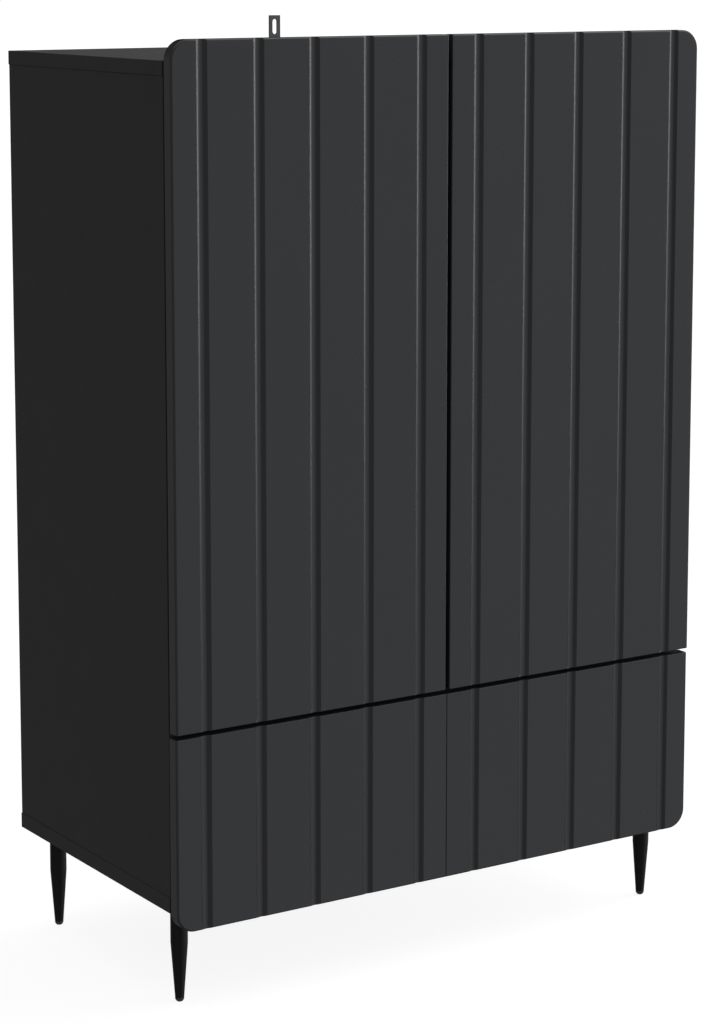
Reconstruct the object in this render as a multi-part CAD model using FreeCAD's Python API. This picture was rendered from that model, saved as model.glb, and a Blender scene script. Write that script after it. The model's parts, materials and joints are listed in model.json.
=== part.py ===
"""Wardrobe with doors: a two-door cabinet over one wide drawer, on four tapered steel legs.

Millimetres. +Z is up, the doors face -Y, and X runs from left to right as seen from the front.
The origin is on the floor, in the middle of the whole object's width and depth.
"""
import FreeCAD, Part
import math
import os

from FreeCAD import Vector

# ---- driving dimensions -------------------------------------------------------------------------

WIDTH = 800.0                # over the top panel, the bottom panel and the fronts
BOARD = 18.0                 # thickness of the carcass boards
BOTTOM_BOARD = 20.0          # the bottom panel is thicker, because it carries the legs
CARCASS_DEPTH = 410.0
CARCASS_BOTTOM = 130.0       # height of the carcass above the floor, which is the legs' length
CARCASS_TOP = 1175.0
SIDE_INSET = 0.8             # the side panels stand this far inside the ends of the top and bottom

FRONT_THICKNESS = 18.0       # doors and drawer front
DOOR_TOP = 1200.0
DRAWER_FRONT_BOTTOM = 108.0
GAP_HEIGHT = 356.5           # middle of the gap between doors and drawer front
FRONT_GAP = 6.0              # between the two doors, and between doors and drawer front
DOOR_STANDOFF = 3.5          # air between the doors' backs and the carcass
DRAWER_SETBACK = 1.5         # the drawer front's face lies this far behind the doors' faces
DRAWER_SEAM = 0.8            # between the two halves of the drawer front
OUTER_CORNER = 25.0          # radius of the corners at the top of the doors and under the drawer
FACE_ROUNDING = 2.5          # outer edges of each front's face
REAR_ROUNDING = 1.5          # outer edges of each front's back
GAP_ROUNDING = 1.0           # edges of the fronts along the gaps
SEAM_ROUNDING = 0.5          # edges of the drawer front's halves at their seam

GROOVES = 5                  # per front
GROOVE_PITCH = 78.75
GROOVES_MIDDLE = 201.0       # the middle groove of each front, from the cabinet's middle
GROOVE_WIDTH = 16.0
GROOVE_DEPTH = 3.0

BRACKET_THICKNESS = 2.0

SHELF_CLEARANCE = 0.8        # adjustable shelf to each side panel
SHELF_SETBACK = 10.0         # adjustable shelf behind the carcass front
SHELF_BACK_AIR = 2.5         # shelves to the groove of the back
BACK_THICKNESS = 3.0
BACK_INSET = 10.0            # rear edge of the boards to the back's groove
BACK_PLAY = 0.2              # each side of the back in its groove
BACK_GROOVE_DEPTH = 7.0

HINGE_HEIGHTS = (458.0, 1060.0)
HINGE_PIN_IN = 9.0           # pin axis from the door's outer edge
HINGE_PIN_BACK = 8.5         # pin axis behind the door's face

RUNNER_LENGTH = 350.0
RUNNER_HEIGHT = 45.0
RUNNER_THICKNESS = 12.7
RUNNER_LEVEL = 220.0         # height of the runners' centre line

# ---- worked out from them -----------------------------------------------------------------------

HALF = WIDTH / 2
TOTAL_DEPTH = FRONT_THICKNESS + DOOR_STANDOFF + CARCASS_DEPTH + BRACKET_THICKNESS
FACE = -TOTAL_DEPTH / 2                          # Y of the doors' faces
CARCASS_FRONT = FACE + FRONT_THICKNESS + DOOR_STANDOFF
CARCASS_REAR = CARCASS_FRONT + CARCASS_DEPTH
SIDE_OUT = HALF - SIDE_INSET                     # X of a side panel's outer face
SIDE_IN = SIDE_OUT - BOARD                       # X of a side panel's inner face
SIDE_MIDDLE = SIDE_OUT - BOARD / 2
INSIDE_BOTTOM = CARCASS_BOTTOM + BOTTOM_BOARD
INSIDE_TOP = CARCASS_TOP - BOARD
DOOR_BOTTOM = GAP_HEIGHT + FRONT_GAP / 2
DRAWER_FRONT_TOP = GAP_HEIGHT - FRONT_GAP / 2
FIXED_BOTTOM = GAP_HEIGHT - BOARD / 2
FIXED_TOP = GAP_HEIGHT + BOARD / 2
GROOVE_REAR = CARCASS_REAR - BACK_INSET
GROOVE_FRONT = GROOVE_REAR - BACK_THICKNESS - 2 * BACK_PLAY
BACK_FRONT = GROOVE_FRONT + BACK_PLAY
SHELF_REAR = GROOVE_FRONT - SHELF_BACK_AIR
SHELF_SPACE = (INSIDE_TOP - FIXED_TOP - 2 * BOARD) / 3
SHELF_UNDERSIDES = (FIXED_TOP + SHELF_SPACE, FIXED_TOP + 2 * SHELF_SPACE + BOARD)

X = Vector(1, 0, 0)
Y = Vector(0, 1, 0)
Z = Vector(0, 0, 1)
ORIGIN = Vector(0, 0, 0)


# ---- small helpers ------------------------------------------------------------------------------

def box(x0, x1, y0, y1, z0, z1):
    """Box between two corners, whichever way round each pair is given."""
    low = Vector(min(x0, x1), min(y0, y1), min(z0, z1))
    return Part.makeBox(abs(x1 - x0), abs(y1 - y0), abs(z1 - z0), low)


def rod(point, direction, radius, length):
    return Part.makeCylinder(radius, length, point, direction)


def mirrored(shape):
    """The same piece on the other side of the cabinet."""
    return shape.mirror(ORIGIN, X)


def both_sides(shapes):
    return list(shapes) + [mirrored(shape) for shape in shapes]


def write(node, shape):
    """Save one sub-part. A list of solids is one node of identical pieces."""
    if isinstance(shape, list):
        shape = Part.makeCompound(shape)
    if not shape.isValid():
        raise RuntimeError("invalid shape in " + node)
    shape.exportStep("parts/" + node + ".step")
    print(f"{node:24s} {len(shape.Solids):3d} solids {shape.Volume / 1000:10.1f} cm3")


def screw(head, direction, length, radius, head_radius, head_height):
    """Pan-head screw: head is the point under the head, direction is the way it is driven."""
    shank = rod(head, direction, radius, length)
    cap = rod(head - direction * head_height, direction, head_radius, head_height)
    return shank.fuse(cap).removeSplitter()


# ---- screws and holes -----------------------------------------------------------------------------

FIT_PLAY = 0.1               # radial play of hardware in its hole
HOLE_SPARE = 1.0             # a blind hole is this much deeper than what goes into it
PILOT_RADIUS = 1.6
SCREW_RADIUS = 1.5
SCREW_HOLE_RADIUS = 1.7
HEAD_POCKET_RADIUS = 3.3     # pocket that sinks a screw's head below a board's face
HEAD_POCKET_DEPTH = 1.6

# Each screw: length under the head, shank radius, head radius, head height.
PLATE_SCREW = (14.0, SCREW_RADIUS, 3.4, 1.4)
ARM_SCREW = (4.3, 2.0, 3.6, 1.8)
CUP_SCREW = (11.0, SCREW_RADIUS, 3.2, 1.2)
FRONT_SCREW = (24.0, SCREW_RADIUS, 4.0, 1.8)
BOX_SCREW = (31.0, SCREW_RADIUS, 3.0, 1.4)
RUNNER_OUTER_SCREW = (12.0, SCREW_RADIUS, 3.2, 0.8)
RUNNER_INNER_SCREW = (11.0, SCREW_RADIUS, 3.2, 0.8)

PANEL_PILOT_DEPTH = 13.0     # in the side panels and the drawer front
BOX_END_PILOT_DEPTH = 22.0   # in the ends of the drawer's inner front and back
BATTEN_PILOT_DEPTH = 34.0    # from under the screw's head
BOX_SIDE_PILOT_DEPTH = 10.5


# ---- board joints: cam lock, cam bolt and dowel ---------------------------------------------------

CAM_REACH = 34.0             # end of a board to its cam's centre
CAM_RADIUS = 7.5
CAM_DEPTH = 12.5
CAM_BORE_RADIUS = 3.0        # bore that the bolt's head lies in
CAM_BORE_START = 3.6         # behind the cam's centre
CAM_SLOT_LENGTH = 9.0        # screwdriver slot
CAM_SLOT_WIDTH = 1.4
CAM_SLOT_DEPTH = 1.8
BOLT_HOLE_RADIUS = 3.5
BOLT_THREAD_RADIUS = 2.5
BOLT_THREAD_LENGTH = 12.0
BOLT_SHANK_RADIUS = 2.0
BOLT_SHANK_LENGTH = 31.5
BOLT_HEAD_RADIUS = 2.7
BOLT_HEAD_LENGTH = 5.0
DOWEL_RADIUS = 4.0
DOWEL_IN_FACE = 10.0
DOWEL_IN_END = 20.0
DOWEL_BESIDE_CAM = 32.0
JOINT_PLACES = (CARCASS_FRONT + 50.0, CARCASS_FRONT + 330.0)


def board_joint(point, outward, cam_side):
    """One joint where the end of a board meets the face of another.

    point is the middle of the end board's thickness in the joint's plane, outward points from the
    end board into the face board, and cam_side points to the face that shows the cam.
    """
    cam_centre = point - outward * CAM_REACH
    cam_mouth = cam_centre + cam_side * (BOARD / 2)
    dowel_point = point + Y * DOWEL_BESIDE_CAM
    dowel_hole = DOWEL_RADIUS + FIT_PLAY
    end_cuts = [
        rod(point, -outward, BOLT_HOLE_RADIUS, CAM_REACH),
        rod(cam_mouth, -cam_side, CAM_RADIUS, CAM_DEPTH),
        rod(dowel_point, -outward, dowel_hole, DOWEL_IN_END + HOLE_SPARE),
    ]
    face_cuts = [
        rod(point, outward, BOLT_THREAD_RADIUS, BOLT_THREAD_LENGTH),
        rod(dowel_point, outward, dowel_hole, DOWEL_IN_FACE + HOLE_SPARE),
    ]
    cam = rod(cam_mouth - cam_side * FIT_PLAY, -cam_side, CAM_RADIUS - FIT_PLAY,
              CAM_DEPTH - HOLE_SPARE / 2)
    bore = rod(cam_centre - outward * CAM_BORE_START, outward, CAM_BORE_RADIUS, 2 * CAM_RADIUS)
    along = outward * (CAM_SLOT_LENGTH / 2)
    across = outward.cross(cam_side) * (CAM_SLOT_WIDTH / 2)
    slot = Part.makePolygon([
        cam_mouth - along - across,
        cam_mouth + along - across,
        cam_mouth + along + across,
        cam_mouth - along + across,
        cam_mouth - along - across,
    ])
    cam = cam.cut([bore, Part.Face(slot).extrude(cam_side * -CAM_SLOT_DEPTH)])
    shank_end = point - outward * BOLT_SHANK_LENGTH
    bolt = rod(point, outward, BOLT_THREAD_RADIUS - FIT_PLAY, BOLT_THREAD_LENGTH - HOLE_SPARE)
    bolt = bolt.fuse([
        rod(shank_end, outward, BOLT_SHANK_RADIUS, BOLT_SHANK_LENGTH),
        rod(shank_end, -outward, BOLT_HEAD_RADIUS, BOLT_HEAD_LENGTH),
    ]).removeSplitter()
    dowel = rod(dowel_point - outward * DOWEL_IN_END, outward, DOWEL_RADIUS,
                DOWEL_IN_END + DOWEL_IN_FACE)
    return {"end": end_cuts, "face": face_cuts, "cam": cam, "bolt": bolt, "dowel": dowel}


def joints_at(x, z, outward, cam_side):
    return [board_joint(Vector(x, y, z), outward, cam_side) for y in JOINT_PLACES]


def gather(joints, part):
    """All the cutters or pieces of one sort from a list of joints."""
    found = []
    for joint in joints:
        piece = joint[part]
        found.extend(piece if isinstance(piece, list) else [piece])
    return found


LEFT_TOP_JOINTS = joints_at(-SIDE_MIDDLE, INSIDE_TOP, Z, X)
LEFT_BOTTOM_JOINTS = joints_at(-SIDE_MIDDLE, INSIDE_BOTTOM, -Z, X)
LEFT_SHELF_JOINTS = joints_at(-SIDE_IN, GAP_HEIGHT, -X, -Z)
LEFT_JOINTS = LEFT_TOP_JOINTS + LEFT_BOTTOM_JOINTS + LEFT_SHELF_JOINTS


# ---- places of the shelf pins, the hinge plates and the legs --------------------------------------

PIN_RADIUS = 2.5
PIN_HOLE_DEPTH = 11.0
PIN_STUB = 9.0               # part of a pin that stands out of the side panel
PIN_COLLAR_LIP = 1.5
PIN_COLLAR_THICKNESS = 0.6
PIN_PITCH = 32.0
PIN_ROWS = (CARCASS_FRONT + 62.0, CARCASS_FRONT + 342.0)
PIN_STEPS = (-2, -1, 0, 1, 2)

PLATE_FROM_FRONT = 37.0      # screw line of the hinge plates behind the carcass front
PLATE_SCREW_SPACING = 32.0
PLATE_THICKNESS = 2.1

LEG_X = 368.0
LEG_FRONT_Y = FACE + 56.0
LEG_REAR_Y = FACE + 387.0
LEG_TOP_RADIUS = 11.0
LEG_TIP_RADIUS = 5.75
LEG_TAPER_TOP = 77.0         # the leg is a plain cylinder above this height
LEG_TAPER_END = 5.5
LEG_WALL = 1.5
LEG_PLUG = 22.0              # solid head of the leg that takes the stud
LEG_TIP_BORE = 12.0          # straight bore above the tip, for the glide's spigot
GLIDE_SPIGOT = 10.0
STUD_RADIUS = 4.0
STUD_LENGTH = 31.0
INSERT_RADIUS = 6.0
INSERT_LENGTH = 14.0


def leg_places():
    """Node suffix, X and Y of each leg."""
    for row, y in (("front", LEG_FRONT_Y), ("rear", LEG_REAR_Y)):
        for side, x in (("left", -LEG_X), ("right", LEG_X)):
            yield row + "_" + side, x, y


def pin_height(underside):
    """Centre of a shelf pin that carries a shelf whose underside is at this height."""
    return underside - PIN_RADIUS


# ---- carcass ------------------------------------------------------------------------------------

def back_groove_in_panel(z0, z1):
    reach = SIDE_IN + BACK_GROOVE_DEPTH
    return box(-reach, reach, GROOVE_FRONT, GROOVE_REAR, z0, z1)


def top_panel():
    panel = box(-HALF, HALF, CARCASS_FRONT, CARCASS_REAR, INSIDE_TOP, CARCASS_TOP)
    cuts = both_sides(gather(LEFT_TOP_JOINTS, "face"))
    cuts.append(back_groove_in_panel(INSIDE_TOP, INSIDE_TOP + BACK_GROOVE_DEPTH))
    cuts.extend(bracket_pilots())
    return panel.cut(cuts)


def bottom_panel():
    panel = box(-HALF, HALF, CARCASS_FRONT, CARCASS_REAR, CARCASS_BOTTOM, INSIDE_BOTTOM)
    cuts = both_sides(gather(LEFT_BOTTOM_JOINTS, "face"))
    cuts.append(back_groove_in_panel(INSIDE_BOTTOM - BACK_GROOVE_DEPTH, INSIDE_BOTTOM))
    for _, x, y in leg_places():
        cuts.append(rod(Vector(x, y, CARCASS_BOTTOM), Z, INSERT_RADIUS + FIT_PLAY,
                        INSERT_LENGTH + HOLE_SPARE))
    return panel.cut(cuts)


def side_panel_left():
    panel = box(-SIDE_OUT, -SIDE_IN, CARCASS_FRONT, CARCASS_REAR, INSIDE_BOTTOM, INSIDE_TOP)
    cuts = gather(LEFT_TOP_JOINTS + LEFT_BOTTOM_JOINTS, "end")
    cuts += gather(LEFT_SHELF_JOINTS, "face")
    cuts.append(box(-SIDE_IN - BACK_GROOVE_DEPTH, -SIDE_IN, GROOVE_FRONT, GROOVE_REAR,
                    INSIDE_BOTTOM, INSIDE_TOP))
    for underside in SHELF_UNDERSIDES:
        for y in PIN_ROWS:
            for step in PIN_STEPS:
                mouth = Vector(-SIDE_IN, y, pin_height(underside) + step * PIN_PITCH)
                cuts.append(rod(mouth, -X, PIN_RADIUS, PIN_HOLE_DEPTH))
    for head in hinge_plate_screw_points() + runner_screw_points():
        cuts.append(rod(Vector(-SIDE_IN, head.y, head.z), -X, PILOT_RADIUS, PANEL_PILOT_DEPTH))
    return panel.cut(cuts)


def fixed_shelf():
    shelf = box(-SIDE_IN, SIDE_IN, CARCASS_FRONT, SHELF_REAR, FIXED_BOTTOM, FIXED_TOP)
    return shelf.cut(both_sides(gather(LEFT_SHELF_JOINTS, "end")))


def adjustable_shelf(underside):
    reach = SIDE_IN - SHELF_CLEARANCE
    return box(-reach, reach, CARCASS_FRONT + SHELF_SETBACK, SHELF_REAR, underside, underside + BOARD)


def shelf_pins():
    """Steel pins: a shank in the side panel, a collar against it and a stub under the shelf."""
    pins = []
    for underside in SHELF_UNDERSIDES:
        for y in PIN_ROWS:
            mouth = Vector(-SIDE_IN, y, pin_height(underside))
            in_hole = PIN_HOLE_DEPTH - HOLE_SPARE
            shank = rod(mouth - X * in_hole, X, PIN_RADIUS - FIT_PLAY, in_hole)
            stub = rod(mouth, X, PIN_RADIUS - FIT_PLAY / 2, PIN_STUB)
            collar = rod(mouth, X, PIN_RADIUS + PIN_COLLAR_LIP, PIN_COLLAR_THICKNESS)
            pins.append(shank.fuse([stub, collar]).removeSplitter())
    return both_sides(pins)


STRIP_WEB_HALF = 0.8
STRIP_EDGE_PLAY = 0.4        # back sheet's inner edge to the joining strip's web
STRIP_LIP = 1.0              # thickness of the strip's lips
STRIP_HALF = 12.0
STRIP_END_AIR = 0.5


def back_panel_left():
    """Thin sheet held in the grooves; its inner edge sits in the joining strip."""
    reach = BACK_GROOVE_DEPTH - HOLE_SPARE
    return box(-SIDE_IN - reach, -STRIP_WEB_HALF - STRIP_EDGE_PLAY, BACK_FRONT, BACK_FRONT + BACK_THICKNESS,
               INSIDE_BOTTOM - reach, INSIDE_TOP + reach)


def back_joining_strip():
    """H-shaped strip that holds the two sheets' inner edges."""
    front = BACK_FRONT - FIT_PLAY
    rear = BACK_FRONT + BACK_THICKNESS + FIT_PLAY
    low = INSIDE_BOTTOM + STRIP_END_AIR
    high = INSIDE_TOP - STRIP_END_AIR
    web = box(-STRIP_WEB_HALF, STRIP_WEB_HALF, front - STRIP_LIP, rear + STRIP_LIP, low, high)
    front_lip = box(-STRIP_HALF, STRIP_HALF, front - STRIP_LIP, front, low, high)
    rear_lip = box(-STRIP_HALF, STRIP_HALF, rear, rear + STRIP_LIP, low, high)
    return web.fuse([front_lip, rear_lip]).removeSplitter()


# ---- wall bracket ---------------------------------------------------------------------------------

BRACKET_X = 6.0              # the bracket stands a little to the right of the middle
BRACKET_WIDTH = 18.0
BRACKET_TOP = 1216.0
BRACKET_FOOT_WIDTH = 60.0
BRACKET_FOOT_HEIGHT = 14.0
BRACKET_SCREWS = (BRACKET_X - 22.0, BRACKET_X + 22.0)
BRACKET_SLOT_WIDTH = 7.0
BRACKET_SLOT_LOW = 1190.0
BRACKET_SLOT_HIGH = 1210.8
BRACKET_SCREW_LEVEL = (INSIDE_TOP + CARCASS_TOP) / 2
BRACKET_SCREW_LENGTH = 24.0
BRACKET_PILOT_DEPTH = 23.0
BRACKET_HOLE_RADIUS = 2.0
COUNTERSINK_DEPTH = 1.8
COUNTERSINK_RADIUS = 3.8
COUNTERSUNK_HEAD_RADIUS = 3.5
COUNTERSUNK_HEAD_HEIGHT = 1.7


def bracket_pilots():
    return [rod(Vector(x, CARCASS_REAR, BRACKET_SCREW_LEVEL), -Y, PILOT_RADIUS, BRACKET_PILOT_DEPTH)
            for x in BRACKET_SCREWS]


def wall_bracket():
    """Upside-down T of steel strip: the foot is screwed to the top panel, the stem has the slot."""
    rear = CARCASS_REAR + BRACKET_THICKNESS
    low = BRACKET_SCREW_LEVEL - BRACKET_FOOT_HEIGHT / 2
    foot = box(BRACKET_X - BRACKET_FOOT_WIDTH / 2, BRACKET_X + BRACKET_FOOT_WIDTH / 2,
               CARCASS_REAR, rear, low, low + BRACKET_FOOT_HEIGHT)
    stem = box(BRACKET_X - BRACKET_WIDTH / 2, BRACKET_X + BRACKET_WIDTH / 2,
               CARCASS_REAR, rear, low, BRACKET_TOP)
    plate = foot.fuse(stem).removeSplitter()
    radius = BRACKET_SLOT_WIDTH / 2
    ends = (BRACKET_SLOT_LOW + radius, BRACKET_SLOT_HIGH - radius)
    cuts = [rod(Vector(BRACKET_X, CARCASS_REAR, z), Y, radius, BRACKET_THICKNESS) for z in ends]
    cuts.append(box(BRACKET_X - radius, BRACKET_X + radius, CARCASS_REAR, rear, ends[0], ends[1]))
    for x in BRACKET_SCREWS:
        point = Vector(x, CARCASS_REAR, BRACKET_SCREW_LEVEL)
        cuts.append(rod(point, Y, BRACKET_HOLE_RADIUS, BRACKET_THICKNESS))
        cuts.append(Part.makeCone(BRACKET_HOLE_RADIUS, COUNTERSINK_RADIUS, COUNTERSINK_DEPTH,
                                  point + Y * (BRACKET_THICKNESS - COUNTERSINK_DEPTH), Y))
    return plate.cut(cuts)


def wall_bracket_screws():
    screws = []
    for x in BRACKET_SCREWS:
        face = Vector(x, CARCASS_REAR + BRACKET_THICKNESS - FIT_PLAY, BRACKET_SCREW_LEVEL)
        shank = rod(face, -Y, SCREW_RADIUS, BRACKET_SCREW_LENGTH)
        head = Part.makeCone(COUNTERSUNK_HEAD_RADIUS, SCREW_RADIUS, COUNTERSUNK_HEAD_HEIGHT, face, -Y)
        screws.append(shank.fuse(head).removeSplitter())
    return screws


# ---- legs -----------------------------------------------------------------------------------------

def revolved(points, x, y):
    """Solid of revolution about a vertical line, from radius and height pairs."""
    wire = Part.makePolygon([Vector(r, 0, z) for r, z in points + points[:1]])
    solid = Part.Face(wire).revolve(ORIGIN, Z, 360)
    solid.translate(Vector(x, y, 0))
    return solid


def leg(x, y):
    """Steel tube, cylindrical at the top and tapering to the glide, with a solid tapped head."""
    stud_hole = STUD_RADIUS + FIT_PLAY
    head_low = CARCASS_BOTTOM - LEG_PLUG
    outline = [
        (stud_hole, CARCASS_BOTTOM),
        (LEG_TOP_RADIUS, CARCASS_BOTTOM),
        (LEG_TOP_RADIUS, LEG_TAPER_TOP),
        (LEG_TIP_RADIUS, LEG_TAPER_END),
        (LEG_TIP_RADIUS - LEG_WALL, LEG_TAPER_END),
        (LEG_TIP_RADIUS - LEG_WALL, LEG_TAPER_END + LEG_TIP_BORE),
        (LEG_TOP_RADIUS - LEG_WALL, LEG_TAPER_TOP),
        (LEG_TOP_RADIUS - LEG_WALL, head_low),
        (stud_hole, head_low),
    ]
    return revolved(outline, x, y)


def leg_stud(x, y):
    return rod(Vector(x, y, CARCASS_BOTTOM + INSERT_LENGTH - HOLE_SPARE - STUD_LENGTH), Z, STUD_RADIUS,
               STUD_LENGTH)


def leg_insert(x, y):
    outer = rod(Vector(x, y, CARCASS_BOTTOM), Z, INSERT_RADIUS, INSERT_LENGTH)
    return outer.cut(rod(Vector(x, y, CARCASS_BOTTOM), Z, STUD_RADIUS + FIT_PLAY, INSERT_LENGTH))


def leg_glide(x, y):
    """Plastic tip: a rounded end with a small flat to stand on, and a spigot inside the leg."""
    flat = 2.6
    bulge = LEG_TIP_RADIUS
    spigot = LEG_TIP_RADIUS - LEG_WALL - FIT_PLAY
    high = LEG_TAPER_END - FIT_PLAY
    corner = math.radians(38)
    through = Vector(flat + (bulge - flat) * math.cos(corner), 0, high * (1 - math.sin(corner)))
    rounded = Part.Arc(Vector(flat, 0, 0), through, Vector(bulge, 0, high)).toShape()
    rest = Part.makePolygon([
        Vector(bulge, 0, high),
        Vector(spigot, 0, high),
        Vector(spigot, 0, high + GLIDE_SPIGOT),
        Vector(0, 0, high + GLIDE_SPIGOT),
        ORIGIN,
        Vector(flat, 0, 0),
    ])
    wire = Part.Wire([rounded] + rest.Edges)
    tip = Part.Face(wire).revolve(ORIGIN, Z, 360)
    tip.translate(Vector(x, y, 0))
    return tip


# ---- doors and drawer fronts ------------------------------------------------------------------------

def rounded_outline(x0, x1, z0, z1, y):
    """Rectangle in a plane of constant Y with rounded corners."""
    corners = [(x0, z0, 1, 1), (x1, z0, -1, 1), (x1, z1, -1, -1), (x0, z1, 1, -1)]
    radius = OUTER_CORNER
    half_root = math.sqrt(0.5)
    arcs = []
    for index, (x, z, sx, sz) in enumerate(corners):
        centre = Vector(x + sx * radius, y, z + sz * radius)
        on_vertical = Vector(x, y, centre.z)
        on_level = Vector(centre.x, y, z)
        middle = centre - Vector(sx * radius * half_root, 0, sz * radius * half_root)
        start, end = (on_vertical, on_level) if index % 2 == 0 else (on_level, on_vertical)
        arcs.append((start, middle, end))
    edges = []
    for index, (start, middle, end) in enumerate(arcs):
        edges.append(Part.Arc(start, middle, end).toShape())
        edges.append(Part.makeLine(end, arcs[(index + 1) % len(arcs)][0]))
    return Part.Wire(edges)


def edges_in_plane(shape, axis, level, shortest=0.0):
    """Edges that lie in the plane where the coordinate along axis is level, from a least length up."""
    found = []
    for edge in shape.Edges:
        low = getattr(edge.BoundBox, axis + "Min")
        high = getattr(edge.BoundBox, axis + "Max")
        in_plane = abs(low - level) < 1e-4 and abs(high - level) < 1e-4
        if in_plane and edge.Length >= shortest:
            found.append(edge)
    return found


def grooved_front(inner_x, inner_rounding, gap_z, far_z, face_y):
    """Left-hand front with shallow round-bottomed grooves from end to end.

    The panel is made too large and then cut off at inner_x and at gap_z. So it keeps one large corner,
    on its outer side and away from the gap, and the edges where it was cut off stay crisp.
    """
    spare = 2 * OUTER_CORNER
    away = 1 if far_z > gap_z else -1
    low, high = sorted((gap_z - away * spare, far_z))
    outline = rounded_outline(-HALF, inner_x + spare, low, high, face_y)
    panel = Part.Face(outline).extrude(Y * FRONT_THICKNESS)
    panel = panel.makeFillet(FACE_ROUNDING, edges_in_plane(panel, "Y", face_y))
    panel = panel.makeFillet(REAR_ROUNDING, edges_in_plane(panel, "Y", face_y + FRONT_THICKNESS))
    panel = panel.common(box(-HALF, inner_x, face_y, face_y + FRONT_THICKNESS, gap_z, far_z))
    panel = panel.makeFillet(inner_rounding, edges_in_plane(panel, "X", inner_x, 2 * spare))
    panel = panel.makeFillet(GAP_ROUNDING, edges_in_plane(panel, "Z", gap_z, 2 * spare))
    groove_radius = (GROOVE_WIDTH ** 2 / 4 + GROOVE_DEPTH ** 2) / (2 * GROOVE_DEPTH)
    axis_y = face_y + GROOVE_DEPTH - groove_radius
    cutters = []
    for index in range(GROOVES):
        x = (index - (GROOVES - 1) / 2) * GROOVE_PITCH - GROOVES_MIDDLE
        cutters.append(rod(Vector(x, axis_y, low), Z, groove_radius, high - low))
    return panel.cut(cutters)


CUP_X = 21.5                                     # cup centre from the door's outer edge
CUP_RADIUS = 17.5
CUP_DEPTH = 13.0
CUP_SCREW_X = 27.5
CUP_SCREW_SPACING = 48.0
DOOR_BACK = FACE + FRONT_THICKNESS


def left_door_panel():
    panel = grooved_front(-FRONT_GAP / 2, GAP_ROUNDING, DOOR_BOTTOM, DOOR_TOP, FACE)
    cuts = [rod(Vector(CUP_X - HALF, DOOR_BACK, z), -Y, CUP_RADIUS, CUP_DEPTH) for z in HINGE_HEIGHTS]
    for point in cup_screw_points():
        cuts.append(rod(Vector(point.x, DOOR_BACK, point.z), -Y, PILOT_RADIUS, CUP_SCREW[0]))
    return panel.cut(cuts)


def drawer_front_left():
    panel = grooved_front(-DRAWER_SEAM / 2, SEAM_ROUNDING, DRAWER_FRONT_TOP, DRAWER_FRONT_BOTTOM,
                          FACE + DRAWER_SETBACK)
    return panel.cut([rod(point, -Y, PILOT_RADIUS, PANEL_PILOT_DEPTH) for point in front_screw_points()])


# ---- hinges: a cup in the door, a vertical pin across it, and an arm on the side panel --------------

CUP_FLANGE = 1.2
CUP_WALL = 0.8
CUP_PLAY = 0.2
CUP_FLANGE_LIP = 1.5
CUP_BAR_HALF = 7.0           # half width of the bar with the screws, and its end past each screw
KNUCKLE_RADIUS = 2.2
KNUCKLE_HALF = 6.0
HINGE_PIN_RADIUS = 1.25
HINGE_PIN_HALF = 10.3
RUNNING_PLAY = 0.05
ARM_THICKNESS = 2.4
ARM_X = 21.0                 # arm's face towards the side panel, from the door's outer edge
ARM_REACH = 52.0             # arm behind the carcass front
ARM_SCREW_HOLE_RADIUS = 2.1
PLATE_WING_HALF_WIDTH = 8.0
PLATE_WING_HALF_HEIGHT = 24.0
PLATE_BODY_HALF_DEPTH = 17.0
PLATE_BODY_HALF_HEIGHT = 8.0
PIN_AXIS_X = HINGE_PIN_IN - HALF
PIN_AXIS_Y = FACE + HINGE_PIN_BACK


def cup_screw_points():
    """Under the heads of the left cups' screws."""
    points = []
    for z in HINGE_HEIGHTS:
        for offset in (-CUP_SCREW_SPACING / 2, CUP_SCREW_SPACING / 2):
            points.append(Vector(CUP_SCREW_X - HALF, DOOR_BACK + CUP_FLANGE, z + offset))
    return points


def hinge_plate_screw_points():
    points = []
    for z in HINGE_HEIGHTS:
        for offset in (-PLATE_SCREW_SPACING / 2, PLATE_SCREW_SPACING / 2):
            points.append(Vector(PLATE_THICKNESS - SIDE_IN, CARCASS_FRONT + PLATE_FROM_FRONT,
                                 z + offset))
    return points


def hinge_cup(z):
    """Pressed cup with a flange that is screwed to the door's back."""
    x = CUP_X - HALF
    floor = DOOR_BACK - CUP_DEPTH + FIT_PLAY
    inner = CUP_RADIUS - CUP_PLAY - CUP_WALL
    cup = rod(Vector(x, floor, z), Y, inner + CUP_WALL, CUP_DEPTH - FIT_PLAY)
    flange = rod(Vector(x, DOOR_BACK, z), Y, CUP_RADIUS + CUP_FLANGE_LIP, CUP_FLANGE)
    screw_x = CUP_SCREW_X - HALF
    bar_end = CUP_SCREW_SPACING / 2 + CUP_BAR_HALF
    bar = box(screw_x - CUP_BAR_HALF, screw_x + CUP_BAR_HALF, DOOR_BACK, DOOR_BACK + CUP_FLANGE,
              z - bar_end, z + bar_end)
    cup = cup.fuse([flange, bar]).removeSplitter()
    cuts = [
        rod(Vector(x, floor + CUP_WALL, z), Y, inner, CUP_DEPTH + CUP_FLANGE),
        rod(Vector(PIN_AXIS_X, PIN_AXIS_Y, z - HINGE_PIN_HALF - FIT_PLAY), Z,
            HINGE_PIN_RADIUS + FIT_PLAY, 2 * (HINGE_PIN_HALF + FIT_PLAY)),
    ]
    for offset in (-CUP_SCREW_SPACING / 2, CUP_SCREW_SPACING / 2):
        cuts.append(rod(Vector(screw_x, DOOR_BACK, z + offset), Y, SCREW_HOLE_RADIUS, CUP_FLANGE))
    return cup.cut(cuts)


def hinge_pin(z):
    return rod(Vector(PIN_AXIS_X, PIN_AXIS_Y, z - HINGE_PIN_HALF), Z, HINGE_PIN_RADIUS,
               2 * HINGE_PIN_HALF)


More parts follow.
